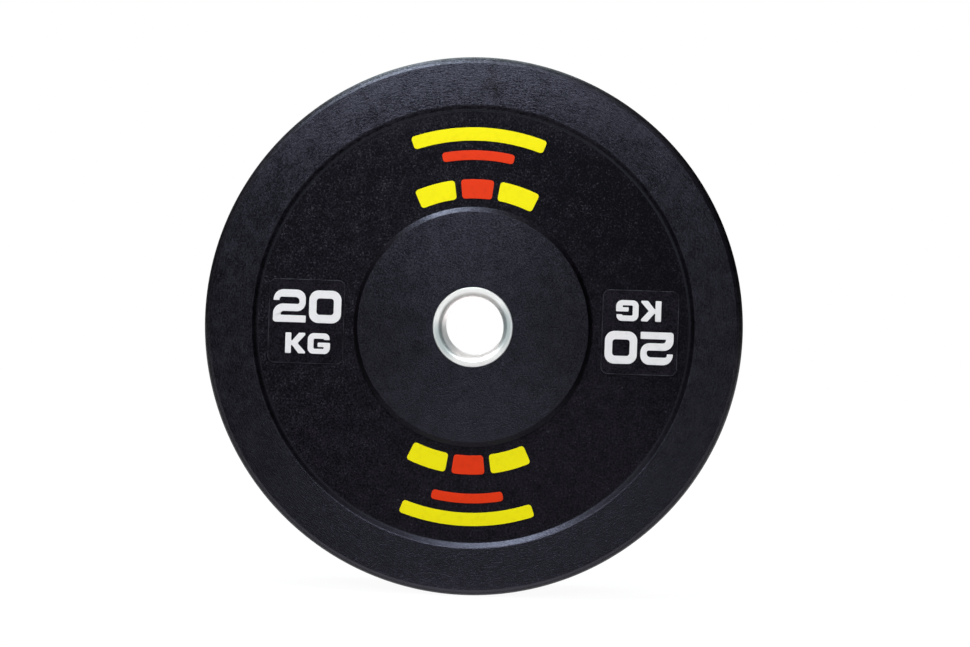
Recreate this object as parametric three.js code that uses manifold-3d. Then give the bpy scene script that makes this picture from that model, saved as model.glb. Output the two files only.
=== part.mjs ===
// Training bumper plate: a moulded rubber disc on a welded steel insert.
// Millimetres, +Z up. The plate stands on its tread with its axis along Y, and its front face
// looks towards -Y. The origin is the centre of the bore, half way through the plate.
import * as THREE from "three";
import { mergeVertices } from "three/addons/utils/BufferGeometryUtils.js";
import Module from "manifold-3d";

const wasm = await Module();
wasm.setup();

// Rubber disc, over its rim, sunken band and hub, with the slope of its chamfers in degrees
const plateDiameter = 450;
const plateWidth = 84;
const rimFaceWidth = 40.3;
const hubFaceDiameter = 192;
const bandDepth = 3.2;
const chamferAngle = 37;
const stepEdgeRadius = 0.4;
const stepFootRadius = 1.5;
const shoulderRun = 6;
const shoulderRadius = 8;

// Steel bush that slides on the bar's sleeve
const boreDiameter = 51;
const bushWall = 8;
const bushSetBack = 0.5;
const mouthRadius = 4;
const bushEdgeRadius = 0.8;

// Steel anchor disc welded round the middle of the bush
const anchorWeb = 30.5;
const anchorThickness = 4;
const keyingHoleDiameter = 14;
const keyingHoleCount = 8;

// Rubber panels that carry the weight marks, with their margins to the feet of the two steps
const panelHubMargin = 7;
const panelRimMargin = 9.7;
const panelHeight = 70.5;
const panelThickness = 3;
const panelCornerRadius = 6;
const panelEdgeChamfer = 0.4;

// Fits and cuts
const fitClearance = 0.3;
const overrun = 1;

// Facets on round forms
const roundFacets = 80;
const shoulderFacets = 4;
const mouthFacets = 4;
const smallRadiusFacets = 2;
const keyingFacets = 20;
const panelCornerFacets = 3;

const halfWidth = plateWidth / 2;
const bandHalfWidth = halfWidth - bandDepth;
const chamferSlope = Math.tan(THREE.MathUtils.degToRad(chamferAngle));
const stepRun = bandDepth / chamferSlope;
const hubRadius = hubFaceDiameter / 2;
const bandInnerRadius = hubRadius + stepRun;
const rimRadius = plateDiameter / 2 - rimFaceWidth;
const bandOuterRadius = rimRadius - stepRun;
const shoulderHalfWidth = halfWidth - shoulderRun * chamferSlope;
const bushRadius = boreDiameter / 2 + bushWall;
const bushHalfLength = halfWidth - bushSetBack;
const anchorRadius = bushRadius + anchorWeb;
const keyingCircleRadius = bushRadius + anchorWeb / 2;
const panelInnerRadius = bandInnerRadius + panelHubMargin;
const panelWidth = bandOuterRadius - panelRimMargin - panelInnerRadius;
const panelCentreRadius = panelInnerRadius + panelWidth / 2;

// The flats of a turned form touch its true circle, and one of them lies at the foot of the plate
const halfFacetTurn = Math.PI / roundFacets;
const flatsReach = 1 / Math.cos(halfFacetTurn);

const rubber = new THREE.MeshStandardMaterial({ color: 0x2e2f35, roughness: 0.72, metalness: 0 });
const panelRubber = new THREE.MeshStandardMaterial({ color: 0x1c1c21, roughness: 0.66, metalness: 0 });
const polishedSteel = new THREE.MeshStandardMaterial({ color: 0xd6dadb, roughness: 0.24, metalness: 1 });
const plainSteel = new THREE.MeshStandardMaterial({ color: 0x8d9092, roughness: 0.45, metalness: 1 });

// A corner of a section: radius from the axis, place along it, and the radius it is rounded to
function corner(radius, along, rounding = 0, facets = smallRadiusFacets) {
  return { at: new THREE.Vector2(radius, along), rounding, facets };
}

// The points of an arc that rounds one corner and meets both of its sides smoothly
function roundedCorner(before, { at, rounding, facets }, after) {
  if (!rounding) return [at];
  const back = before.clone().sub(at).normalize();
  const ahead = after.clone().sub(at).normalize();
  const halfAngle = Math.acos(back.dot(ahead)) / 2;
  const centre = back.clone().add(ahead).setLength(rounding / Math.sin(halfAngle)).add(at);
  const start = back.multiplyScalar(rounding / Math.tan(halfAngle)).add(at).sub(centre);
  const end = ahead.multiplyScalar(rounding / Math.tan(halfAngle)).add(at).sub(centre);
  const sweep = Math.atan2(start.cross(end), start.dot(end));
  const points = [];
  for (let step = 0; step <= facets; step += 1) {
    const point = start.clone().rotateAround(new THREE.Vector2(), (sweep * step) / facets);
    points.push(point.add(centre));
  }
  return points;
}

// Turns a closed section about the plate's axis; corners run outward along the front face first
function turned(corners) {
  const section = corners.flatMap((item, index) => {
    const before = corners[(index + corners.length - 1) % corners.length].at;
    const after = corners[(index + 1) % corners.length].at;
    return roundedCorner(before, item, after);
  });
  section.push(section[0].clone());
  return new THREE.LatheGeometry(section, roundFacets, halfFacetTurn).scale(flatsReach, 1, flatsReach);
}

function solidOf(geometry) {
  const bare = geometry.clone();
  bare.deleteAttribute("normal");
  bare.deleteAttribute("uv");
  const merged = mergeVertices(bare);
  const vertProperties = new Float32Array(merged.attributes.position.array);
  const triVerts = new Uint32Array(merged.index.array);
  return new wasm.Manifold(new wasm.Mesh({ numProp: 3, vertProperties, triVerts }));
}

function geometryOf(solid) {
  const mesh = solid.getMesh();
  const geometry = new THREE.BufferGeometry();
  geometry.setAttribute("position", new THREE.BufferAttribute(mesh.vertProperties, mesh.numProp));
  geometry.setIndex(new THREE.BufferAttribute(mesh.triVerts, 1));
  geometry.computeVertexNormals();
  return geometry;
}

// One cylinder in each keying hole of the anchor disc, square to the disc
function keyingCylinders(diameter, length) {
  const cylinders = [];
  for (let hole = 0; hole < keyingHoleCount; hole += 1) {
    const cylinder = new THREE.CylinderGeometry(diameter / 2, diameter / 2, length, keyingFacets);
    cylinder.translate(0, 0, keyingCircleRadius);
    cylinder.rotateY((2 * Math.PI * hole) / keyingHoleCount);
    cylinders.push(cylinder);
  }
  return cylinders;
}

// A rounded rectangle, grown all round, that runs from the height `low` to the height `high`
function panelBlock(grown, low, high, chamfer) {
  const halfWide = panelWidth / 2 + grown;
  const halfHigh = panelHeight / 2 + grown;
  const bend = panelCornerRadius + grown;
  const outline = new THREE.Shape();
  outline.absarc(halfWide - bend, halfHigh - bend, bend, 0, Math.PI / 2);
  outline.absarc(bend - halfWide, halfHigh - bend, bend, Math.PI / 2, Math.PI);
  outline.absarc(bend - halfWide, bend - halfHigh, bend, Math.PI, 1.5 * Math.PI);
  outline.absarc(halfWide - bend, bend - halfHigh, bend, 1.5 * Math.PI, 2 * Math.PI);
  const block = new THREE.ExtrudeGeometry(outline, {
    depth: high - low - 2 * chamfer,
    bevelEnabled: chamfer > 0,
    bevelSegments: 1,
    bevelSize: chamfer,
    bevelThickness: chamfer,
    bevelOffset: -chamfer,
    curveSegments: panelCornerFacets,
  });
  return block.translate(0, 0, low + chamfer);
}

// The two rubber panels of one face, left and right as seen by someone who looks at that face
function panelledFace(faceName, faceTurn) {
  const face = new THREE.Group();
  face.rotation.z = faceTurn;
  for (const [sideName, side, panelTurn] of [["left", -1, 0], ["right", 1, Math.PI]]) {
    const panel = new THREE.Mesh(panelBlock(0, -panelThickness, 0, panelEdgeChamfer), panelRubber);
    panel.name = `${faceName}_${sideName}_weight_panel`;
    panel.position.set(side * panelCentreRadius, -bandHalfWidth, 0);
    panel.rotation.set(Math.PI / 2, 0, panelTurn);
    face.add(panel);
  }
  face.updateMatrixWorld(true);
  return face;
}

// Moulded disc: chamfered steps and shoulders, a groove that closes round the anchor disc, rubber
// plugs that run through its keying holes, and a pocket under each weight panel
function rubberBody(panels) {
  const wallRadius = bushRadius + fitClearance;
  const grooveRadius = anchorRadius + fitClearance;
  const grooveHalfWidth = anchorThickness / 2 + fitClearance;
  const frontHalf = [
    corner(wallRadius, halfWidth),
    corner(hubRadius, halfWidth, stepEdgeRadius),
    corner(bandInnerRadius, bandHalfWidth, stepFootRadius),
    corner(bandOuterRadius, bandHalfWidth, stepFootRadius),
    corner(rimRadius, halfWidth, stepEdgeRadius),
    corner(plateDiameter / 2 - shoulderRun, halfWidth),
    corner(plateDiameter / 2, shoulderHalfWidth, shoulderRadius, shoulderFacets),
  ];
  const front = frontHalf.map(({ at, rounding, facets }) => corner(at.x, -at.y, rounding, facets));
  const back = frontHalf.reverse();
  const groove = [
    corner(wallRadius, grooveHalfWidth),
    corner(grooveRadius, grooveHalfWidth),
    corner(grooveRadius, -grooveHalfWidth),
    corner(wallRadius, -grooveHalfWidth),
  ];
  let body = solidOf(turned([...front, ...back, ...groove]));
  const plugLength = 2 * (grooveHalfWidth + overrun);
  for (const plug of keyingCylinders(keyingHoleDiameter - 2 * fitClearance, plugLength)) {
    body = body.add(solidOf(plug));
  }
  for (const panel of panels) {
    const pocket = panelBlock(fitClearance, -panelThickness - fitClearance, overrun, 0);
    body = body.subtract(solidOf(pocket.applyMatrix4(panel.matrixWorld)));
  }
  const mesh = new THREE.Mesh(geometryOf(body), rubber);
  mesh.name = "rubber_body";
  return mesh;
}

// Turned bush with rounded mouths, set a little below the hub faces
function boreBush() {
  const bush = turned([
    corner(boreDiameter / 2, -bushHalfLength, mouthRadius, mouthFacets),
    corner(bushRadius, -bushHalfLength, bushEdgeRadius),
    corner(bushRadius, bushHalfLength, bushEdgeRadius),
    corner(boreDiameter / 2, bushHalfLength, mouthRadius, mouthFacets),
  ]);
  const mesh = new THREE.Mesh(bush, polishedSteel);
  mesh.name = "bore_bush";
  return mesh;
}

// Flat disc round the bush, pierced by the holes that the rubber fills
function anchorDisc() {
  const seatRadius = bushRadius + fitClearance;
  let disc = solidOf(turned([
    corner(seatRadius, -anchorThickness / 2),
    corner(anchorRadius, -anchorThickness / 2),
    corner(anchorRadius, anchorThickness / 2),
    corner(seatRadius, anchorThickness / 2),
  ]));
  for (const hole of keyingCylinders(keyingHoleDiameter, anchorThickness + 2 * overrun)) {
    disc = disc.subtract(solidOf(hole));
  }
  const mesh = new THREE.Mesh(geometryOf(disc), plainSteel);
  mesh.name = "anchor_disc";
  return mesh;
}

const frontFace = panelledFace("front", 0);
const backFace = panelledFace("back", Math.PI);
const panels = [...frontFace.children, ...backFace.children];

const plate = new THREE.Group();
plate.add(rubberBody(panels), boreBush(), anchorDisc(), frontFace, backFace);

export default plate;
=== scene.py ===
# A black training bumper plate: a stepped rubber disc moulded round a steel bush, with rubber
# weight panels, raised figures and a plain coloured ornament. Metres, +Z up, axis along Y, front
# face towards -Y.
import math

import bmesh
import bpy
from mathutils import Matrix, Vector


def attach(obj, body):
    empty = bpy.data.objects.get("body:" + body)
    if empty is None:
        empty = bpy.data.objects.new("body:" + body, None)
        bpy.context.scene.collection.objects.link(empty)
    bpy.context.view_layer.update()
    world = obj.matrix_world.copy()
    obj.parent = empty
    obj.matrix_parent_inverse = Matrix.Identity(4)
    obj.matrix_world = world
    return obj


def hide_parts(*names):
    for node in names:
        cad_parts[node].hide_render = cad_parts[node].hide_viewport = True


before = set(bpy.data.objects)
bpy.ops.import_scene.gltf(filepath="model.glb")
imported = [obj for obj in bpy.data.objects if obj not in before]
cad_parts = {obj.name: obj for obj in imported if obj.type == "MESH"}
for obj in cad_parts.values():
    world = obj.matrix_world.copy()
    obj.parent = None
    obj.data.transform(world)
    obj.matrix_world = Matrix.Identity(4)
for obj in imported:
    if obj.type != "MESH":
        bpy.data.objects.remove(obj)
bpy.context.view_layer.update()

MM = 0.001

# Rubber disc
DISC_RADIUS = 225 * MM
DISC_WIDTH = 84 * MM
RIM_FACE_WIDTH = 40.8 * MM
HUB_RADIUS = 96 * MM
BAND_DEPTH = 3.2 * MM
CHAMFER_ANGLE = math.radians(37)
RIM_EDGE_RADIUS = 2.2 * MM
HUB_EDGE_RADIUS = 0.6 * MM
STEP_FOOT_RADIUS = 0.8 * MM
SHOULDER_RUN = 6 * MM
SHOULDER_RADIUS = 8 * MM
SHOULDER_CREASE_RADIUS = 0.6 * MM
FLASH_HEIGHT = 0.25 * MM
FLASH_HALF_WIDTH = 0.6 * MM

# Steel bush and the groove round its anchor disc
BORE_RADIUS = 25.5 * MM
BUSH_RADIUS = 33.5 * MM
BUSH_SET_BACK = 0.5 * MM
BUSH_MOUTH_RADIUS = 4 * MM
BUSH_EDGE_RADIUS = 0.8 * MM
GROOVE_RADIUS = 64.3 * MM
GROOVE_HALF_WIDTH = 2.3 * MM

# Weight panels
PANEL_HUB_MARGIN = 7 * MM
PANEL_RIM_MARGIN = 9.2 * MM
PANEL_HEIGHT = 70.5 * MM
PANEL_THICKNESS = 3 * MM
PANEL_CORNER_RADIUS = 6 * MM
PANEL_CORNER_SEGMENTS = 8
POCKET_GAP = 0.3 * MM
POCKET_OVERRUN = 2 * MM
BEAD_HEIGHT = 0.3 * MM
BEAD_FLANK = 0.35 * MM
BEAD_CREST = 0.3 * MM

# Raised figures and ornament
FIGURE_RELIEF = 0.35 * MM
FIGURE_SINK = 0.25 * MM
FIGURE_EDGE = 0.12 * MM
BLOCK_CORNER = 3 * MM

# Straight sides of everything round, and how near a corner lies to where it is looked for
SIDES = 256
REACH = 0.05 * MM

half_width = DISC_WIDTH / 2
band_level = half_width - BAND_DEPTH
bush_level = half_width - BUSH_SET_BACK
step_run = BAND_DEPTH / math.tan(CHAMFER_ANGLE)
rim_radius = DISC_RADIUS - RIM_FACE_WIDTH
band_outer_radius = rim_radius - step_run
band_inner_radius = HUB_RADIUS + step_run
tread_radius = DISC_RADIUS - FLASH_HEIGHT
shoulder_inner_radius = DISC_RADIUS - SHOULDER_RUN
shoulder_drop = (tread_radius - shoulder_inner_radius) * math.tan(CHAMFER_ANGLE)
shoulder_level = half_width - shoulder_drop
panel_width = band_outer_radius - PANEL_RIM_MARGIN - band_inner_radius - PANEL_HUB_MARGIN
panel_centre_radius = band_inner_radius + PANEL_HUB_MARGIN + panel_width / 2
band_middle_radius = (band_outer_radius + band_inner_radius) / 2
band_half_span = (band_outer_radius - band_inner_radius) / 2


# Handling of pieces

def take_up(piece):
    """Leaves this piece the only one that is selected, and active."""
    bpy.ops.object.select_all(action="DESELECT")
    piece.select_set(True)
    bpy.context.view_layer.objects.active = piece


def start_piece(name):
    """Names the primitive that was just added and applies its place."""
    piece = bpy.context.active_object
    piece.name = name
    piece.data.name = name
    bpy.ops.object.transform_apply(location=True, rotation=True, scale=True)
    return piece


def pick_faces(piece, wanted):
    """In edit mode, selects the faces whose centre and normal are wanted."""
    bpy.ops.mesh.select_mode(type="FACE")
    bpy.ops.mesh.select_all(action="DESELECT")
    shape = bmesh.from_edit_mesh(piece.data)
    for face in shape.faces:
        if wanted(face.calc_center_median(), face.normal):
            face.select_set(True)
    shape.select_flush_mode()
    bmesh.update_edit_mesh(piece.data)


def pick_edges(piece, wanted):
    """In edit mode, selects the edges whose two ends and middle are all wanted."""
    bpy.ops.mesh.select_mode(type="EDGE")
    bpy.ops.mesh.select_all(action="DESELECT")
    shape = bmesh.from_edit_mesh(piece.data)
    for edge in shape.edges:
        first, last = (end.co for end in edge.verts)
        if wanted(first) and wanted(last) and wanted((first + last) / 2):
            edge.select_set(True)
    shape.select_flush_mode()
    bmesh.update_edit_mesh(piece.data)


def from_axis(point):
    """How far a point lies from the plate's axis."""
    return math.hypot(point.x, point.z)


def pick_rings(piece, radius, level):
    """Selects the edges round the axis at this radius, this far out from the mid plane."""

    def on_ring(point):
        return abs(from_axis(point) - radius) < REACH and abs(abs(point.y) - level) < REACH

    pick_edges(piece, on_ring)


def pick_end_faces(piece):
    """Selects the outermost flat face at each end of the axis."""
    pick_faces(piece, lambda centre, normal: abs(normal.y) > 0.99 and from_axis(centre) < 1 * MM)


def finish_surface(piece, angle=35):
    """Smooth shading that keeps true flats, and corners sharper than this angle."""
    take_up(piece)
    bpy.ops.object.shade_smooth_by_angle(angle=math.radians(angle))
    flats = piece.modifiers.new("true_flats", "WEIGHTED_NORMAL")
    flats.keep_sharp = True
    flats.weight = 100
    bpy.ops.object.modifier_apply(modifier=flats.name)


def cut_away(piece, cutter):
    """Cuts the shape of the cutter out of the piece."""
    take_up(piece)
    cut = piece.modifiers.new("cut", "BOOLEAN")
    cut.operation = "DIFFERENCE"
    cut.object = cutter
    bpy.ops.object.modifier_apply(modifier=cut.name)
    bpy.data.objects.remove(cutter)


def turned_to_back(piece, name):
    """A copy with its own mesh, turned half round the upright axis."""
    copy = piece.copy()
    copy.data = piece.data.copy()
    copy.name = name
    copy.data.name = name
    bpy.context.scene.collection.objects.link(copy)
    copy.data.transform(Matrix.Rotation(math.pi, 4, "Z"))
    return copy


# Rubber disc

def stepped_disc():
    """A round blank whose two faces are raised and sunk ring by ring, down to the bore."""
    bpy.ops.mesh.primitive_cylinder_add(
        vertices=SIDES, radius=tread_radius, depth=2 * shoulder_level, rotation=(math.pi / 2, 0, 0)
    )
    disc = start_piece("moulded_disc")
    bpy.ops.object.mode_set(mode="EDIT")
    pick_end_faces(disc)
    bpy.ops.mesh.inset(thickness=tread_radius - shoulder_inner_radius, depth=shoulder_drop)
    bpy.ops.mesh.inset(thickness=shoulder_inner_radius - rim_radius)
    bpy.ops.mesh.inset(thickness=step_run, depth=-BAND_DEPTH)
    bpy.ops.mesh.inset(thickness=band_outer_radius - band_inner_radius)
    bpy.ops.mesh.inset(thickness=step_run, depth=BAND_DEPTH)
    bpy.ops.mesh.inset(thickness=HUB_RADIUS - BUSH_RADIUS)
    bpy.ops.mesh.extrude_region_shrink_fatten(
        TRANSFORM_OT_shrink_fatten={"value": GROOVE_HALF_WIDTH - half_width}
    )
    bpy.ops.mesh.delete(type="FACE")
    return disc


def anchor_groove(disc):
    """Opens the bore into the groove that closes round the anchor disc."""
    pick_rings(disc, BUSH_RADIUS, GROOVE_HALF_WIDTH)
    outward = GROOVE_RADIUS / BUSH_RADIUS
    bpy.ops.mesh.extrude_edges_move()
    bpy.ops.transform.resize(value=(outward, 1, outward), center_override=(0, 0, 0))
    pick_rings(disc, GROOVE_RADIUS, GROOVE_HALF_WIDTH)
    bpy.ops.mesh.bridge_edge_loops()


def round_steps(disc):
    """Rounds the shoulders, the edges of the two steps and their feet."""
    shoulder_turn = math.pi / 2 - CHAMFER_ANGLE
    corners = [
        (tread_radius, shoulder_level, shoulder_turn, SHOULDER_RADIUS, 10),
        (shoulder_inner_radius, half_width, CHAMFER_ANGLE, SHOULDER_CREASE_RADIUS, 3),
        (rim_radius, half_width, CHAMFER_ANGLE, RIM_EDGE_RADIUS, 5),
        (band_outer_radius, band_level, CHAMFER_ANGLE, STEP_FOOT_RADIUS, 3),
        (band_inner_radius, band_level, CHAMFER_ANGLE, STEP_FOOT_RADIUS, 3),
        (HUB_RADIUS, half_width, CHAMFER_ANGLE, HUB_EDGE_RADIUS, 3),
    ]
    for radius, level, turn, rounding, segments in corners:
        pick_rings(disc, radius, level)
        bpy.ops.mesh.bevel(offset=rounding * math.tan(turn / 2), segments=segments, affect="EDGES")


def flash_line(disc):
    """Raises the fine line that the two halves of the mould leave round the tread."""
    for level in (-FLASH_HALF_WIDTH, 0, FLASH_HALF_WIDTH):
        pick_faces(disc, lambda centre, normal: abs(normal.y) < 0.01 and from_axis(centre) > rim_radius)
        bpy.ops.mesh.bisect(plane_co=(0, level, 0), plane_no=(0, 1, 0))
    pick_rings(disc, tread_radius, 0)
    outward = DISC_RADIUS / tread_radius
    bpy.ops.transform.resize(value=(outward, 1, outward), center_override=(0, 0, 0))


def rubber_disc():
    """The disc with its rounded steps, its groove and a pocket under each weight panel."""
    disc = stepped_disc()
    anchor_groove(disc)
    round_steps(disc)
    flash_line(disc)
    bpy.ops.object.mode_set(mode="OBJECT")
    for side in (-1, 1):
        for face in (-1, 1):
            cut_away(disc, panel_pocket(side, face))
    finish_surface(disc)
    return disc


# Weight panels

def panel_blank(name, side, grown, low, high):
    """A slab with round corners on the front face, from one level out to another."""
    middle = (side * panel_centre_radius, -(low + high) / 2, 0)
    size = (panel_width + 2 * grown, high - low, PANEL_HEIGHT + 2 * grown)
    bpy.ops.mesh.primitive_cube_add(size=1, location=middle, scale=size)
    blank = start_piece(name)
    bpy.ops.object.mode_set(mode="EDIT")
    shape = bmesh.from_edit_mesh(blank.data)
    bpy.ops.mesh.select_mode(type="EDGE")
    bpy.ops.mesh.select_all(action="DESELECT")
    for edge in shape.edges:
        edge.select_set(abs(edge.verts[0].co.y - edge.verts[1].co.y) > 1 * MM)
    bmesh.update_edit_mesh(blank.data)
    rounding = PANEL_CORNER_RADIUS + grown
    bpy.ops.mesh.bevel(offset=rounding, segments=PANEL_CORNER_SEGMENTS, affect="EDGES")
    bpy.ops.object.mode_set(mode="OBJECT")
    return blank


def panel_pocket(side, face):
    """The room that a panel needs in the disc, with a gap all round it."""
    low = band_level - PANEL_THICKNESS - POCKET_GAP
    pocket = panel_blank("panel_pocket", side, POCKET_GAP, low, band_level + POCKET_OVERRUN)
    if face > 0:
        pocket.data.transform(Matrix.Rotation(math.pi, 4, "Z"))
    return pocket


def weight_panel(name, side):
    """A panel flush with the band, with the fine bead of its seam raised round its edge."""
    panel = panel_blank(name, side, POCKET_GAP / 2, band_level - PANEL_THICKNESS, band_level)
    bpy.ops.object.mode_set(mode="EDIT")
    pick_faces(panel, lambda centre, normal: normal.y < -0.99)
    bpy.ops.mesh.inset(thickness=BEAD_FLANK, depth=BEAD_HEIGHT)
    bpy.ops.mesh.inset(thickness=BEAD_CREST)
    bpy.ops.mesh.inset(thickness=BEAD_FLANK, depth=-BEAD_HEIGHT)
    bpy.ops.object.mode_set(mode="OBJECT")
    finish_surface(panel, 50)
    return panel


# Steel bush

def bore_bush():
    """A thick tube with rounded mouths."""
    bpy.ops.mesh.primitive_cylinder_add(
        vertices=SIDES, radius=BUSH_RADIUS, depth=2 * bush_level, rotation=(math.pi / 2, 0, 0)
    )
    bush = start_piece("turned_bush")
    bpy.ops.object.mode_set(mode="EDIT")
    pick_end_faces(bush)
    bpy.ops.mesh.inset(thickness=BUSH_RADIUS - BORE_RADIUS)
    bpy.ops.mesh.delete(type="FACE")
    pick_rings(bush, BORE_RADIUS, bush_level)
    bpy.ops.mesh.bridge_edge_loops()
    bpy.ops.mesh.select_all(action="SELECT")
    bpy.ops.mesh.normals_make_consistent(inside=False)
    pick_rings(bush, BORE_RADIUS, bush_level)
    bpy.ops.mesh.bevel(offset=BUSH_MOUTH_RADIUS, segments=12, affect="EDGES")
    pick_rings(bush, BUSH_RADIUS, bush_level)
    bpy.ops.mesh.bevel(offset=BUSH_EDGE_RADIUS, segments=4, affect="EDGES")
    bpy.ops.object.mode_set(mode="OBJECT")
    finish_surface(bush)
    return bush


# Raised figures. Corners of each outline in steps of the grid, across and down from the middle of
# the panel as one looks at the front face, with the radius that each is rounded to.

GRID = 0.835 * MM

FIGURES = {
    "figure_two": [[
        (-33.4, -31.5, 10), (-1.1, -31.5, 9), (-1.1, -9.85, 9), (-26.2, -9.85, 3.5), (-26.2, -5.9, 0.8),
        (-0.7, -5.9, 0.8), (-0.7, 1.15, 0.8), (-33.6, 1.15, 3), (-33.6, -17.2, 9.8), (-7.4, -17.2, 2),
        (-7.4, -24, 4), (-27.4, -24, 2.2), (-27.4, -20.5, 0.5), (-33.4, -20.5, 0.6),
    ]],
    "figure_zero": [
        [(2.4, -31.45, 9.4), (34.55, -31.45, 9.4), (34.55, 1.15, 9.4), (2.4, 1.15, 9.4)],
        [(9.85, -23.5, 3), (27, -23.5, 3), (27, -7.1, 3), (9.85, -7.1, 3)],
    ],
    "unit_k": [[
        (-20.4, 11.5, 1), (-14.5, 11.5, 1), (-14.5, 20.5, 0.6), (-6.9, 11.5, 0.8), (-0.6, 11.5, 1),
        (-0.6, 13.6, 1), (-8, 21.9, 0.5), (-0.3, 30.3, 1), (-0.3, 32.05, 0.8), (-7, 32.05, 0.8),
        (-14.5, 22.9, 0.6), (-14.5, 32.05, 0.8), (-20.4, 32.05, 1),
    ]],
    "unit_g": [[
        (2.1, 11.35, 6), (23.9, 11.35, 5.2), (23.9, 17.85, 0.6), (18.7, 17.85, 1), (17.6, 16.85, 1),
        (8, 16.85, 1.2), (8, 26.95, 1.2), (18.2, 26.95, 1), (18.2, 25, 0.8), (12, 25, 0.8),
        (12, 20.7, 1.2), (24.5, 20.7, 1), (24.5, 32, 6), (2.1, 32, 5.7),
    ]],
}


def rounded_outline(corners, segments=8):
    """The points of a closed outline whose corners are rounded, each to its own radius."""
    points = []
    for index, (across, down, radius) in enumerate(corners):
        here = Vector((across, down))
        to_last = (Vector(corners[index - 1][:2]) - here).normalized()
        to_next = (Vector(corners[(index + 1) % len(corners)][:2]) - here).normalized()
        half_angle = to_last.angle(to_next) / 2
        middle = here + (to_last + to_next).normalized() * radius / math.sin(half_angle)
        start = here + to_last * radius / math.tan(half_angle) - middle
        end = here + to_next * radius / math.tan(half_angle) - middle
        sweep = start.angle_signed(end)
        for step in range(segments + 1):
            points.append(middle + Matrix.Rotation(-sweep * step / segments, 2) @ start)
    return points


def raised_shape(name, outlines, level):
    """A thin flat shape with softened edges on the front face, from closed outlines across and up.
    It is drawn in millimetres, because a flat curve fills badly when it is small."""
    drawing = bpy.data.curves.new(name, "CURVE")
    drawing.dimensions = "2D"
    drawing.fill_mode = "BOTH"
    drawing.extrude = ((FIGURE_RELIEF + FIGURE_SINK) / 2 - FIGURE_EDGE) / MM
    drawing.bevel_depth = FIGURE_EDGE / MM
    drawing.bevel_resolution = 1
    drawing.offset = -FIGURE_EDGE / MM
    for outline in outlines:
        line = drawing.splines.new("POLY")
        line.points.add(len(outline) - 1)
        line.use_cyclic_u = True
        for point, corner in zip(line.points, outline):
            point.co = (corner.x / MM, corner.y / MM, 0, 1)
    shape = bpy.data.objects.new(name, drawing)
    bpy.context.scene.collection.objects.link(shape)
    take_up(shape)
    bpy.ops.object.convert(target="MESH")
    shape = bpy.context.active_object
    shape.scale = (MM, MM, MM)
    shape.rotation_euler = (math.pi / 2, 0, 0)
    shape.location = (0, -level - (FIGURE_RELIEF - FIGURE_SINK) / 2, 0)
    bpy.ops.object.transform_apply(location=True, rotation=True, scale=True)
    bpy.ops.object.mode_set(mode="EDIT")
    bpy.ops.mesh.select_all(action="SELECT")
    bpy.ops.mesh.remove_doubles(threshold=0.01 * MM)
    bpy.ops.object.mode_set(mode="OBJECT")
    finish_surface(shape)
    return shape


def panel_figures(side, side_name):
    """The weight figures of one panel, upright at the left and turned half round at the right."""
    shapes = []
    middle = Vector((side * panel_centre_radius, 0))
    for name, outlines in FIGURES.items():
        placed = []
        for corners in outlines:
            points = rounded_outline(corners)
            placed.append([middle - side * GRID * Vector((point.x, -point.y)) for point in points])
        shapes.append(raised_shape(f"{side_name}_{name}", placed, band_level))
    return shapes


# Ornament: plain arcs and blocks that follow the band. Colour, inner radius, outer radius, and
# where each starts and ends in degrees from the top.

ARCS = {
    "outer_arc": ("yellow", 155 * MM, 166 * MM, -20, 20),
    "middle_arc": ("red", 139 * MM, 147 * MM, -12, 12),
    "left_block": ("yellow", 107 * MM, 123 * MM, -25, -9),
    "centre_block": ("red", 107 * MM, 123 * MM, -6.5, 6.5),
    "right_block": ("yellow", 107 * MM, 123 * MM, 9, 25),
}


def from_top(radius, angle):
    """The point of the front face at this radius and this angle from the top."""
    return Vector((radius * math.sin(angle), radius * math.cos(angle)))


def soft_corner(before, corner, after, steps=6):
    """The points of a bend that cuts a corner, from one point beside it to another."""
    points = []
    for step in range(steps + 1):
        share = step / steps
        points.append(before.lerp(corner, share).lerp(corner.lerp(after, share), share))
    return points


def arc_outline(inner, outer, start, end, steps=24):
    """A band between two radii with soft corners, from one angle to another."""
    points = []
    for near, far, first, last in ((outer, inner, start, end), (inner, outer, end, start)):
        onward = math.copysign(BLOCK_CORNER, last - first)
        inward = math.copysign(BLOCK_CORNER, far - near)
        for step in range(steps + 1):
            share = step / steps
            angle = first + onward / near + (last - first - 2 * onward / near) * share
            points.append(from_top(near, angle))
        near_corner = from_top(near, last)
        points += soft_corner(points[-1], near_corner, from_top(near + inward, last))[1:]
        far_corner = from_top(far, last)
        far_end = from_top(far, last - onward / far)
        points += soft_corner(from_top(far - inward, last), far_corner, far_end)[:-1]
    return points


def ornament(place_name, turn):
    """The arcs and blocks at one place of the front face, each with its colour."""
    shapes = []
    for name, (colour, inner, outer, start, end) in ARCS.items():
        outline = arc_outline(inner, outer, math.radians(start), math.radians(end))
        points = [point * turn for point in outline]
        shapes.append((colour, raised_shape(f"{place_name}_{name}", [points], band_level)))
    return shapes


# Materials

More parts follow.
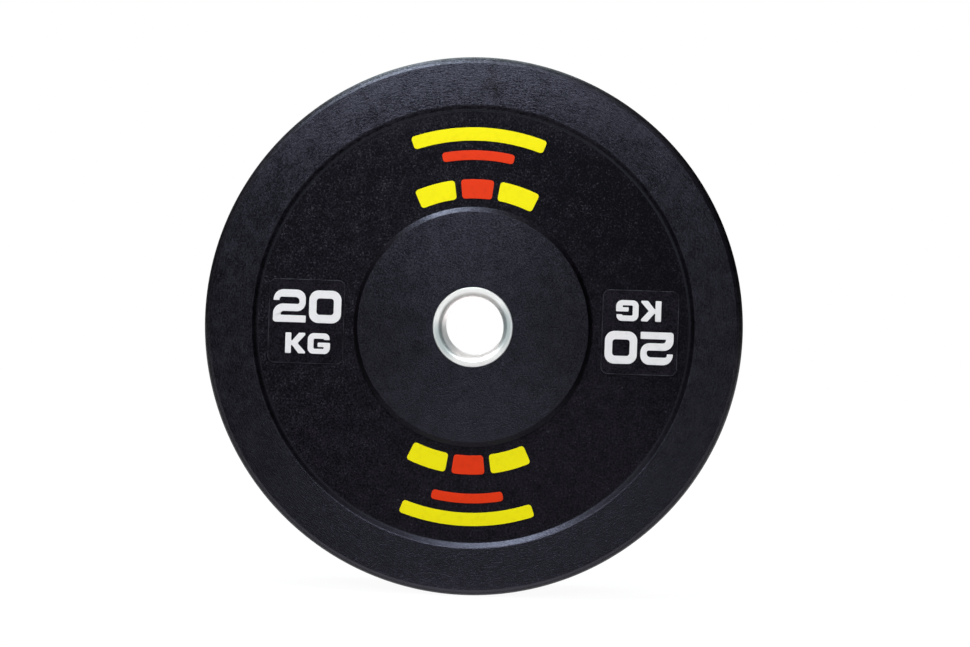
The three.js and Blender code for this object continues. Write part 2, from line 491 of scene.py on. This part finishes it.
class Signal:
    """The output of a shader node, which can be added, multiplied and so on."""

    def __init__(self, finish, socket):
        self.finish = finish
        self.socket = socket

    def maths(self, operation, first, second):
        return self.finish.node("ShaderNodeMath", {"operation": operation}, {0: first, 1: second})

    def __add__(self, other):
        return self.maths("ADD", self, other)

    def __sub__(self, other):
        return self.maths("SUBTRACT", self, other)

    def __rsub__(self, other):
        return self.maths("SUBTRACT", other, self)

    def __mul__(self, other):
        return self.maths("MULTIPLY", self, other)

    def __truediv__(self, other):
        return self.maths("DIVIDE", self, other)

    def __pow__(self, other):
        return self.maths("POWER", self, other)

    def __abs__(self):
        return self.maths("ABSOLUTE", self, 0)

    __radd__ = __add__
    __rmul__ = __mul__

    def rise(self, low, high):
        """Runs smoothly from 0 where the signal is at low to 1 where it is at high."""
        settings = {"interpolation_type": "SMOOTHSTEP"}
        return self.finish.node("ShaderNodeMapRange", settings, {0: self, 1: low, 2: high})


class Finish:
    """The nodes of one material, of the floor or of the world."""

    def __init__(self, owner):
        owner.use_nodes = True
        self.owner = owner
        self.tree = owner.node_tree
        self.tree.nodes.clear()

    def node(self, kind, settings, inputs, output=0):
        """Adds a node: its settings first, then the values or signals of its inputs."""
        node = self.tree.nodes.new(kind)
        for setting, value in settings.items():
            setattr(node, setting, value)
        for name, value in inputs.items():
            if isinstance(value, Signal):
                self.tree.links.new(value.socket, node.inputs[name])
            else:
                node.inputs[name].default_value = value
        return Signal(self, node.outputs[output])

    def place(self):
        """The point of the object that is being coloured: across, along the axis and up."""
        here = self.node("ShaderNodeTexCoord", {}, {}, "Object")
        return here, [self.node("ShaderNodeSeparateXYZ", {}, {0: here}, axis) for axis in range(3)]

    def point(self, across, along, up):
        return self.node("ShaderNodeCombineXYZ", {}, {0: across, 1: along, 2: up})

    def cloud(self, at, scale, detail, roughness):
        """Noise from 0 to 1, in patches about 1 / scale across."""
        inputs = {"Vector": at, "Scale": scale, "Detail": detail, "Roughness": roughness}
        return self.node("ShaderNodeTexNoise", {}, inputs)

    def tint(self, share, first, second):
        """One colour passing into another."""
        return self.node("ShaderNodeMix", {"data_type": "RGBA"}, {0: share, 6: first, 7: second}, 2)

    def relief(self, height, depth):
        """Turns a height from 0 to 1 into a relief this deep."""
        return self.node("ShaderNodeBump", {}, {"Height": height, "Distance": depth})

    def skin(self, colour, roughness, relief, **fixed):
        """The shader of one surface. What is fixed all over it is set on the shader itself."""
        inputs = {"Base Color": colour, "Roughness": roughness, "Normal": relief}
        inputs.update({name.replace("_", " "): value for name, value in fixed.items()})
        return self.node("ShaderNodeBsdfPrincipled", {}, inputs)

    def mix(self, share, first, second):
        """One skin passing into another."""
        return self.node("ShaderNodeMixShader", {}, {0: share, 1: first, 2: second})

    def surface(self, shader, output="ShaderNodeOutputMaterial"):
        """Ends the tree with this shader and gives back what wears it."""
        end = self.tree.nodes.new(output)
        self.tree.links.new(shader.socket, end.inputs["Surface"])
        return self.owner


def new_finish(name):
    return Finish(bpy.data.materials.new(name))


def rgb(red, green, blue):
    return (red, green, blue, 1)


def distance(first, second):
    """The length of the diagonal over two signals."""
    return (first * first + second * second) ** 0.5


def turned_lines(finish, place, per_turn, per_metre, detail, roughness):
    """Lines round the axis, as a lathe leaves them: quick across and slow along."""
    x, y, z = place
    radius = distance(x, z)
    across = radius - abs(y) + y.rise(-1 * MM, 1 * MM)
    at = finish.point(x / radius * per_turn, across * per_metre, z / radius * per_turn)
    return finish.cloud(at, 1.0, detail, roughness)


# Disc rubber. A pattern has its fineness, detail and roughness.

TURNED_LINES = (50.0, 1500.0, 2.0, 0.6)
MOTTLE = (75.0, 6.0, 0.75)
GRAIN = (640.0, 3.0, 0.7)
PORES = (1300.0, 2.0, 0.6)
SIDE_SHARES = (0.7, 0.95)
GLOSS_TINT = rgb(0.772, 0.725, 1.0)

SLATE_DARK = rgb(0.0009, 0.0006, 0.0009)
SLATE_LIGHT = rgb(0.0026, 0.0016, 0.0024)
DULL_GLOSS = 0.12
SHINY_GLOSS = 0.63
SHEEN_SPAN = 0.23
SLATE_ROUGHNESS = 0.30
SLOPE_POLISH = 0.05
SHOULDER_WEAR = 0.07
LINE_DEPTH = 0.45 * MM
# Painted highlight at the shoulder's crest and painted shade in a line outside it
SHOULDER_CREST = 1.3 * MM
SHOULDER_CREST_HIGHLIGHT = 0.07
SHOULDER_SHADE_LINE = 3.5 * MM
SHOULDER_LINE_SHADE = 0.12

# How far the patterns swing the gloss of the turned rubber, and how that changes by place
GRAIN_SWING = 0.8
LINE_SWING = 0.55
MOTTLE_SWING = 0.48
HUB_MOTTLE_LOSS = 0.15
USUAL_SWING = 0.85
UPPER_LEFT_SWING = 0.25
LOWER_SWING_LOSS = 0.58
HUB_SWING_LOSS = 0.15

# Gloss that a place gains, or loses as dullness. More gloss low down and at the top of the rim is
# painted highlight; less gloss at the left and on the rim's side slopes is painted shade; the hub and
# the scuff are duller rubber
OVERALL_GLOSS = 0.015
LOWER_PAINTED_SHEEN = 0.03
RIM_TOP_PAINTED_SHEEN = 0.015
RIM_TOP_OUTWARD_PAINTED_SHEEN = 0.12
HUB_DULLNESS = 0.035
LEFT_PAINTED_SHADE = 0.04
SCUFF_DULLNESS = 0.09
RIM_SLOPE_PAINTED_SHADE = 0.4

BAND_DARK = rgb(0.0003, 0.0003, 0.0005)
BAND_LIGHT = rgb(0.0151, 0.0116, 0.0160)
BAND_SPECK = rgb(0.0460, 0.0425, 0.0520)
BAND_SPECK_RANGE = (0.75, 0.88)
BAND_GRAIN_SWING = 0.84
BAND_MOTTLE_SWING = 0.33
BAND_USUAL_SWING = 0.7
BAND_UPPER_LEFT_SWING = 0.35
BAND_SPAN = 0.13
UPPER_RIGHT_DARKNESS = 0.07
# Painted light: the band paler near the rim's foot at the top
FOOT_PAINTED_LIGHT = 0.09
UPPER_LEFT_DARKNESS = 0.05
BAND_GLOSS = 0.08
BAND_ROUGHNESS = 0.5
GRAIN_DEPTH = 0.05 * MM
BAND_CREEP = 0.6 * MM

SCUFF_BROWN = rgb(0.0040, 0.0026, 0.0020)
SCUFF_ASIDE = 10.5 * MM
SCUFF_ABOVE = 203 * MM
SCUFF_RAG = 14 * MM
SCUFF_CORE = 9 * MM
SCUFF_REACH = 24 * MM

# Pale colour of the worn rim edge and of the painted highlight at the rim's foot
PALE_HIGHLIGHT_AND_WEAR = rgb(0.0210, 0.0202, 0.0255)
CORNER_LINE_ASIDE = 0.3 * MM
CORNER_LINE_CORE = 0.3 * MM
CORNER_LINE_REACH = 1.5 * MM


class DiscSpot:
    """Where a point of the disc lies, as shares from 0 to 1, and its lines and grains."""

    def __init__(self, finish):
        here, place = finish.place()
        self.x, self.y, self.z = place
        self.radius = distance(self.x, self.z)
        self.on_hub = 1 - self.radius.rise(band_inner_radius, band_inner_radius + 2 * MM)
        self.outside = self.radius.rise(rim_radius, rim_radius + 2 * MM)
        self.level_face = abs(self.y).rise(half_width - 0.35 * MM, half_width - 0.05 * MM)
        self.sloped = (1 - self.level_face) * (1 - self.outside)
        self.on_shoulder = (1 - self.level_face) * self.outside
        self.sideways = (abs(self.x) / self.radius).rise(*SIDE_SHARES)
        self.rightwards = (self.x / self.radius).rise(*SIDE_SHARES)
        self.lower = 1 - self.z.rise(-150 * MM, 0)
        self.upper_left = (self.z * 0.8 - self.x * 0.6).rise(-150 * MM, 200 * MM)
        self.lines = turned_lines(finish, place, *TURNED_LINES)
        self.mottle = finish.cloud(here, *MOTTLE)
        self.grain = finish.cloud(here, *GRAIN)
        self.pores = finish.cloud(here, *PORES)


def off_the_band(spot):
    """1 on rim, hub, tread and bush wall, 0 on the band, which creeps up the sides of the hub."""
    foot = band_level + spot.on_hub * spot.sideways * BAND_CREEP
    raised = abs(spot.y).rise(foot + 0.05 * MM, foot + 0.4 * MM)
    return raised + spot.outside - raised * spot.outside


def highlight_in_corner(spot):
    """A paler line at the foot of the rim, most of it at the top: a painted highlight."""
    from_corner = abs(abs(spot.radius - band_middle_radius) - band_half_span - CORNER_LINE_ASIDE)
    near_rim = spot.radius.rise(band_middle_radius - 5 * MM, band_middle_radius + 5 * MM)
    more_at_top = near_rim * (0.25 + spot.z.rise(-50 * MM, 170 * MM) * 0.75)
    return (1 - from_corner.rise(CORNER_LINE_CORE, CORNER_LINE_REACH)) * more_at_top


def scuffed(spot):
    """One ragged scuff at the top of the front rim."""
    across = spot.x - SCUFF_ASIDE
    up = spot.z - SCUFF_ABOVE
    from_scuff = (across * across * 2 + up * up) ** 0.5 + spot.mottle * SCUFF_RAG
    return (1 - from_scuff.rise(SCUFF_CORE, SCUFF_REACH)) * (0 - spot.y).rise(0, 1 * MM)


def shoulder_sheen(spot):
    """Painted highlight and shade on the shoulder: more gloss at its crest and less in a line outside
    it.
    """
    from_crease = spot.radius - shoulder_inner_radius
    crest = 1 - abs(from_crease - SHOULDER_CREST).rise(0.4 * MM, 1.5 * MM)
    shade_line = 1 - abs(from_crease - SHOULDER_SHADE_LINE).rise(0.4 * MM, 1.6 * MM)
    return spot.on_shoulder * (crest * SHOULDER_CREST_HIGHLIGHT - shade_line * SHOULDER_LINE_SHADE)


def swing(pattern, strength):
    """The ups and downs of a pattern about its middle."""
    return (pattern - 0.5) * strength


def uneven_sheen(spot):
    """The swing of the gloss in grain, lines and mottle, calmer low down and on the hub."""
    mottle = swing(spot.mottle, MOTTLE_SWING - spot.on_hub * HUB_MOTTLE_LOSS)
    uneven = swing(spot.grain, GRAIN_SWING) + swing(spot.lines, LINE_SWING) + mottle
    amount = USUAL_SWING + spot.upper_left * UPPER_LEFT_SWING
    amount = amount - spot.lower * LOWER_SWING_LOSS - spot.on_hub * HUB_SWING_LOSS
    return (uneven + OVERALL_GLOSS) * amount


def patchy_sheen(spot, scuff):
    """What a place adds to the gloss or takes from it: painted highlight low down and at the top of the
    rim, painted shade at the left, and a duller hub and scuff.
    """
    at_left = (0 - spot.x).rise(80 * MM, 200 * MM)
    outward = spot.radius.rise(rim_radius, shoulder_inner_radius) - 0.5
    rim_top = spot.outside * spot.level_face * spot.z.rise(50 * MM, 200 * MM)
    # Painted highlight low down and at the top of the rim; painted shade at the left
    gained = spot.lower * LOWER_PAINTED_SHEEN + (outward * RIM_TOP_OUTWARD_PAINTED_SHEEN + RIM_TOP_PAINTED_SHEEN) * rim_top
    lost = spot.on_hub * HUB_DULLNESS + at_left * LEFT_PAINTED_SHADE + scuff * SCUFF_DULLNESS
    return gained - lost + shoulder_sheen(spot)


def turned_sheen(spot, scuff):
    """How shiny the turned rubber is, from 0 to 1. The slopes at the sides lose gloss, as painted
    shade.
    """
    sheen = (uneven_sheen(spot) + patchy_sheen(spot, scuff)).rise(-SHEEN_SPAN, SHEEN_SPAN)
    # Painted shade: less gloss on the side slopes of the hub and on the right slope of the rim
    rim_slope = spot.rightwards * (1 - spot.on_hub) * RIM_SLOPE_PAINTED_SHADE
    return sheen * (1 - spot.sloped * (spot.sideways * spot.on_hub + rim_slope))


def turned_skin(finish, spot, corner_highlight):
    """Slate black with fine turned lines, in which dull and shiny rubber pass into each other."""
    scuff = scuffed(spot)
    worn_edge = 1 - abs(spot.radius - rim_radius).rise(0.2 * MM, 1.0 * MM)
    slate = finish.tint(spot.mottle.rise(0.35, 0.7), SLATE_DARK, SLATE_LIGHT)
    slate = finish.tint(scuff, slate, SCUFF_BROWN)
    # Painted highlight at the rim's foot
    slate = finish.tint(corner_highlight, slate, PALE_HIGHLIGHT_AND_WEAR)
    slate = finish.tint(worn_edge * spot.mottle * 0.25, slate, PALE_HIGHLIGHT_AND_WEAR)
    height = (spot.lines * 0.6 + spot.grain * 0.4 - 0.5) * (1 - spot.sloped * 0.7)
    relief = finish.relief(height, LINE_DEPTH)
    roughness = SLATE_ROUGHNESS + spot.mottle * 0.10
    roughness = roughness - spot.sloped * SLOPE_POLISH + spot.on_shoulder * SHOULDER_WEAR
    dull, shiny = (
        finish.skin(slate, roughness, relief, Specular_IOR_Level=gloss, Specular_Tint=GLOSS_TINT)
        for gloss in (DULL_GLOSS, SHINY_GLOSS)
    )
    return finish.mix(turned_sheen(spot, scuff), dull, shiny)


def band_skin(finish, spot, corner_highlight):
    """Deep black with a mealy grain, pale specks, and painted light towards the top of the rim's foot.
    """
    # Darker towards the upper right of the band
    towards_upper_right = (spot.x * 0.87 + spot.z * 0.5).rise(50 * MM, 160 * MM)
    near_foot = spot.radius.rise(band_outer_radius - 16 * MM, band_outer_radius)
    # Painted light: paler near the rim's foot at the top
    lit_near_foot = near_foot * spot.z.rise(110 * MM, 170 * MM)
    uneven = swing(spot.grain, BAND_GRAIN_SWING) + swing(spot.mottle, BAND_MOTTLE_SWING)
    mealy = uneven * (BAND_USUAL_SWING + spot.upper_left * BAND_UPPER_LEFT_SWING)
    mealy = mealy - towards_upper_right * UPPER_RIGHT_DARKNESS + lit_near_foot * FOOT_PAINTED_LIGHT
    mealy = mealy - spot.upper_left * UPPER_LEFT_DARKNESS
    specks = spot.pores * 0.45 + spot.grain * 0.55 + spot.mottle * 0.3 + spot.upper_left * 0.05
    black = finish.tint(mealy.rise(-BAND_SPAN, BAND_SPAN), BAND_DARK, BAND_LIGHT)
    black = finish.tint(specks.rise(*BAND_SPECK_RANGE), black, BAND_SPECK)
    # Painted highlight at the rim's foot
    black = finish.tint(corner_highlight, black, PALE_HIGHLIGHT_AND_WEAR)
    relief = finish.relief(spot.pores * 0.5 + spot.grain * 0.5, GRAIN_DEPTH)
    roughness = BAND_ROUGHNESS + spot.pores * 0.1
    return finish.skin(
        black, roughness, relief, Specular_IOR_Level=BAND_GLOSS, Specular_Tint=GLOSS_TINT
    )


def moulded_rubber():
    """Black rubber, turned and slightly shiny on rim, hub and tread, mealy in the band."""
    finish = new_finish("disc_rubber")
    spot = DiscSpot(finish)
    # The painted highlight at the rim's foot, shared by band and rim
    corner_highlight = highlight_in_corner(spot)
    band = band_skin(finish, spot, corner_highlight)
    turned = turned_skin(finish, spot, corner_highlight)
    return finish.surface(finish.mix(off_the_band(spot), band, turned))


# Panel rubber

PANEL_DARK = rgb(0.0003, 0.0003, 0.0005)
PANEL_LIGHT = rgb(0.0156, 0.0121, 0.0166)
PANEL_HAZE = (55.0, 6.0, 0.75)
PANEL_GLOSS = 0.07
PANEL_ROUGHNESS = 0.42
PANEL_GRAIN_DEPTH = 0.03 * MM
BEAD_PAINTED_HIGHLIGHT = rgb(0.0400, 0.0380, 0.0470)


def smooth_panel_rubber():
    """Blacker and closer than the band, with a bead painted paler here and there as a highlight."""
    finish = new_finish("panel_rubber")
    here, (x, y, z) = finish.place()
    grain = finish.cloud(here, *GRAIN)
    haze = finish.cloud(here, *PANEL_HAZE)
    bead = abs(y).rise(band_level + 0.05 * MM, band_level + 0.28 * MM)
    # Painted highlight along the bead of the seam, patchy with the haze
    bead_highlight = bead * (0.2 + haze.rise(0.42, 0.6) * 0.8)
    black = finish.tint((grain * 0.8 + haze * 0.4).rise(0.46, 0.76), PANEL_DARK, PANEL_LIGHT)
    black = finish.tint(bead_highlight, black, BEAD_PAINTED_HIGHLIGHT)
    relief = finish.relief(grain, PANEL_GRAIN_DEPTH)
    roughness = PANEL_ROUGHNESS + haze * 0.12
    skin = finish.skin(
        black, roughness, relief, Specular_IOR_Level=PANEL_GLOSS, Specular_Tint=GLOSS_TINT
    )
    return finish.surface(skin)


# Steel

LATHE_LINES = (5.0, 5200.0, 1.0, 0.5)
LATHE_DEPTH = 0.006 * MM
STEEL_HAZE = (90.0, 3.0, 0.55)
STEEL_DARK = rgb(0.95, 0.885, 0.875)
STEEL_BRIGHT = rgb(1.0, 0.94, 0.93)
STEEL_LINE = rgb(0.60, 0.64, 0.68)
STEEL_PAINTED_SHADE = rgb(0.47, 0.50, 0.505)
STEEL_ROUGHNESS = 0.36
STEEL_METAL = 0.8

SHEET_DARK = rgb(0.34, 0.35, 0.36)
SHEET_BRIGHT = rgb(0.46, 0.47, 0.48)
SHEET_SPOT = rgb(0.16, 0.14, 0.13)
SHEET_SPOTS = (120.0, 3.0, 0.6)
ROLLED_FINENESS = (60, 900, 900)
SHEET_ROUGHNESS = 0.4
SHEET_DEPTH = 0.01 * MM


def bush_shade(x, z, haze):
    """Painted shade on the bush at its right side and at its lower left, less at its edge."""
    radius = distance(x, z)
    right_side = (x / radius).rise(0.7, 1.0)
    lower_left = ((0 - x) / radius * 0.9 - z / radius * 0.43).rise(0.75, 1.0)
    at_edge = radius.rise(BUSH_RADIUS - 4 * MM, BUSH_RADIUS)
    return (right_side + lower_left) * (0.8 + haze * 0.3) * (1 - at_edge * 0.6)


def turned_steel():
    """Bright plated steel with the fine lines of the lathe, a little haze, and painted shade at two
    sides.
    """
    finish = new_finish("bush_steel")
    here, place = finish.place()
    x, y, z = place
    lines = turned_lines(finish, place, *LATHE_LINES)
    haze = finish.cloud(here, *STEEL_HAZE)
    steel = finish.tint(haze.rise(0.35, 0.7), STEEL_DARK, STEEL_BRIGHT)
    # Painted shade at the right side and the lower left
    steel = finish.tint(bush_shade(x, z, haze), steel, STEEL_PAINTED_SHADE)
    steel = finish.tint(lines.rise(0.55, 0.8) * 0.3, steel, STEEL_LINE)
    relief = finish.relief(lines, LATHE_DEPTH)
    skin = finish.skin(steel, STEEL_ROUGHNESS + haze * 0.10, relief, Metallic=STEEL_METAL)
    return finish.surface(skin)


def sheet_steel():
    """Plain rolled steel with a faint grain and a few darker spots."""
    finish = new_finish("anchor_steel")
    here, (x, y, z) = finish.place()
    across, along, up = ROLLED_FINENESS
    rolled = finish.cloud(finish.point(x * across, y * along, z * up), 1.0, 2.0, 0.5)
    spots = finish.cloud(here, *SHEET_SPOTS).rise(0.6, 0.75)
    steel = finish.tint(rolled, SHEET_DARK, SHEET_BRIGHT)
    steel = finish.tint(spots * 0.5, steel, SHEET_SPOT)
    relief = finish.relief(rolled, SHEET_DEPTH)
    skin = finish.skin(steel, SHEET_ROUGHNESS + rolled * 0.15, relief, Metallic=1.0)
    return finish.surface(skin)


# Coloured rubber: each colour clean and soiled

MARK_COLOURS = {
    "white": (rgb(0.81, 0.727, 0.745), rgb(0.65, 0.585, 0.60)),
    "yellow": (rgb(0.91, 0.745, 0.003), rgb(0.77, 0.605, 0.003)),
    "red": (rgb(0.76, 0.036, 0.005), rgb(0.60, 0.026, 0.005)),
}
MARK_GRAIN = (1200.0, 2.0, 0.6)
MARK_SOIL = (160.0, 4.0, 0.65)
MARK_GLOSS = 0.1
MARK_ROUGHNESS = 0.5
MARK_DEPTH = 0.015 * MM


def mark_rubber(colour):
    """Coloured rubber of the figures and the ornament, a little duller here and there."""
    finish = new_finish(f"{colour}_mark")
    here, _ = finish.place()
    clean, soiled = MARK_COLOURS[colour]
    grain = finish.cloud(here, *MARK_GRAIN)
    soil = finish.cloud(here, *MARK_SOIL)
    dirt = soil.rise(0.45, 0.8) * 0.5 + grain.rise(0.6, 0.8) * 0.15
    tinted = finish.tint(dirt, clean, soiled)
    relief = finish.relief(grain, MARK_DEPTH)
    roughness = MARK_ROUGHNESS + soil * 0.1
    return finish.surface(finish.skin(tinted, roughness, relief, Specular_IOR_Level=MARK_GLOSS))


disc_rubber = moulded_rubber()
panel_rubber = smooth_panel_rubber()
bush_steel = turned_steel()
anchor_steel = sheet_steel()
marks = {colour: mark_rubber(colour) for colour in MARK_COLOURS}


# Making of the object

def wear(piece, material):
    """Gives a piece its only material."""
    piece.data.materials.clear()
    piece.data.materials.append(material)


def settle(piece, slot, material, *replaced):
    """Gives a piece its material and its body, and hides the solids that it stands for. The slot is not
    used.
    """
    wear(piece, material)
    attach(piece, "root")
    if replaced:
        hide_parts(*replaced)


def mark_both_faces(mark, colour):
    """Settles a raised shape of the front face and its copy on the back face."""
    back = turned_to_back(mark, mark.name.replace("front", "back"))
    settle(mark, f"{colour}_mark", marks[colour])
    settle(back, f"{colour}_mark", marks[colour])


settle(rubber_disc(), "disc_rubber", disc_rubber, "rubber_body")
settle(bore_bush(), "bush_steel", bush_steel, "bore_bush")
wear(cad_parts["anchor_disc"], anchor_steel)

for side_name, side in (("left", -1), ("right", 1)):
    front = weight_panel(f"front_{side_name}_panel", side)
    back = turned_to_back(front, f"back_{side_name}_panel")
    settle(front, "panel_rubber", panel_rubber, f"front_{side_name}_weight_panel")
    settle(back, "panel_rubber", panel_rubber, f"back_{side_name}_weight_panel")
    for figure in panel_figures(side, f"front_{side_name}"):
        mark_both_faces(figure, "white")

for place_name, turn in (("front_top", 1), ("front_bottom", -1)):
    for colour, shape in ornament(place_name, turn):
        mark_both_faces(shape, colour)


# Studio

CAMERA_DISTANCE = 1.5
CAMERA_LENS = 65.15
SENSOR_WIDTH = 36
CAMERA_SIDE_TURN = math.radians(1.63)
CAMERA_LIFT = math.radians(1.28)
CAMERA_ROLL = math.radians(1.93)
AIM_ASIDE = 9.2 * MM
AIM_ABOVE = 2.6 * MM

COOL_WHITE = (0.84, 1.0, 1.02)
PALE_BLUE = (0.88, 1.0, 1.0)
PURE_WHITE = (1, 1, 1)

FLOOR_SIZE = 6
FLOOR_PAPER = rgb(0.065, 0.065, 0.065)
FLOOR_GLOW = 0.95
FLOOR_FADE = (0.4, 1.6)

# Shares and places of what gloss shows of the floor in front of the plate: its painted shadow and its
# painted bright strip
FLOOR_SHADE = 0.85
FLOOR_SHADE_EDGE = (0.04, 0.09)
FLOOR_SHINE_END = (0.16, 0.24)
STRIP_SHINE = 1.1
STRIP_START = (0.22, 0.32)
STRIP_END = (0.6, 0.9)
STRIP_SIDES = (0.05, 0.2)

WORLD_SOFT = 0.28
WORLD_SIDES = 0.01
WORLD_TOP = 0.5
WORLD_TOP_EDGE = (0.22, 0.95)


def soft_box(name, place, aim, width, height, brightness, colour=PURE_WHITE):
    """A flat lamp, as bright as written: 1 is the white of the background."""
    light = bpy.data.lights.new(name, "AREA")
    light.shape = "RECTANGLE"
    light.size = width
    light.size_y = height
    light.energy = brightness * math.pi * width * height
    light.color = colour
    lamp = bpy.data.objects.new(name, light)
    lamp.location = place
    lamp.rotation_euler = (Vector(aim) - Vector(place)).to_track_quat("-Z", "Y").to_euler()
    bpy.context.scene.collection.objects.link(lamp)


def camera_at_photo_angle():
    """A camera a little to the right of the axis and above it, slightly rolled."""
    place = CAMERA_DISTANCE * Vector((
        math.sin(CAMERA_SIDE_TURN) * math.cos(CAMERA_LIFT),
        -math.cos(CAMERA_SIDE_TURN) * math.cos(CAMERA_LIFT),
        math.sin(CAMERA_LIFT),
    ))
    data = bpy.data.cameras.new("photo_camera")
    data.lens = CAMERA_LENS
    data.sensor_width = SENSOR_WIDTH
    camera = bpy.data.objects.new("photo_camera", data)
    look = (Vector((AIM_ASIDE, 0, AIM_ABOVE)) - place).to_track_quat("-Z", "Y")
    roll = Matrix.Rotation(CAMERA_ROLL, 4, "Z")
    camera.matrix_world = Matrix.Translation(place) @ look.to_matrix().to_4x4() @ roll
    bpy.context.scene.collection.objects.link(camera)
    bpy.context.scene.camera = camera


def seen_directly(finish):
    """1 where a surface is seen by the camera, and 1 where it is seen in gloss or in metal."""
    rays = ("Is Camera Ray", "Is Glossy Ray")
    return [finish.node("ShaderNodeLightPath", {}, {}, ray) for ray in rays]


def white_floor():
    """Pale paper that is white to the camera far off and keeps the plate's shadow. Its glow in gloss is
    painted: white behind the plate, a painted shadow close in front of it, a painted bright strip
    further out."""
    bpy.ops.mesh.primitive_plane_add(size=FLOOR_SIZE, location=(0, 0, -DISC_RADIUS))
    floor = start_piece("studio_floor")
    finish = new_finish("studio_floor")
    camera_ray, glossy_ray = seen_directly(finish)
    here, (x, y, z) = finish.place()
    in_front = 0 - y
    lit = 1 - in_front.rise(*FLOOR_SHADE_EDGE) * FLOOR_SHADE
    lit = lit * (1 - in_front.rise(*FLOOR_SHINE_END))
    strip = in_front.rise(*STRIP_START) * (1 - in_front.rise(*STRIP_END))
    strip = strip * (1 - abs(x).rise(*STRIP_SIDES)) * STRIP_SHINE
    far_off = distance(x, y).rise(*FLOOR_FADE)
    seen = camera_ray * (FLOOR_GLOW + far_off * (1 - FLOOR_GLOW)) + glossy_ray * (lit + strip)
    paper = finish.node("ShaderNodeBsdfDiffuse", {}, {"Color": FLOOR_PAPER})
    glow = finish.node("ShaderNodeEmission", {}, {"Strength": seen})
    wear(floor, finish.surface(finish.node("ShaderNodeAddShader", {}, {0: paper, 1: glow})))


def white_world():
    """White to the camera. In gloss it is bright above, more so at the left, and dim at the sides."""
    world = bpy.data.worlds.new("studio")
    bpy.context.scene.world = world
    finish = Finish(world)
    camera_ray, glossy_ray = seen_directly(finish)
    direction = finish.node("ShaderNodeTexCoord", {}, {}, "Generated")
    aside = finish.node("ShaderNodeSeparateXYZ", {}, {0: direction}, "X")
    up = finish.node("ShaderNodeSeparateXYZ", {}, {0: direction}, "Z")
    leaning = up * 0.96 - aside * 0.28
    shine = WORLD_SIDES + leaning.rise(*WORLD_TOP_EDGE) * WORLD_TOP
    other_ray = 1 - camera_ray - glossy_ray
    strength = camera_ray + glossy_ray * shine + other_ray * WORLD_SOFT
    white = {"Color": rgb(*PURE_WHITE), "Strength": strength}
    finish.surface(finish.node("ShaderNodeBackground", {}, white), "ShaderNodeOutputWorld")


white_floor()
white_world()
camera_at_photo_angle()
soft_box("overhead_box", (-0.40, -0.12, 1.2), (-0.12, -0.12, 0), 1.15, 0.3, 18, COOL_WHITE)
soft_box("high_front_box", (-0.3, -0.9, 2.2), (0, 0, 0), 0.9, 0.7, 9.5, COOL_WHITE)
soft_box("main_front_box", (-0.26, -2.4, 1.5), (0, 0, 0), 1.2, 1.0, 14.8, PALE_BLUE)
soft_box("low_front_box", (0.2, -2.6, -0.15), (0, 0, 0), 1.6, 0.5, 1.7)
soft_box("behind_bore_box", (0, 0.2, 0), (0, 0, 0), 0.25, 0.25, 0.7)
soft_box("behind_top_box", (-0.1, 0.7, 1.2), (0, 0, 0), 1.0, 0.8, 2.6, COOL_WHITE)
bpy.context.scene.view_settings.view_transform = "Standard"
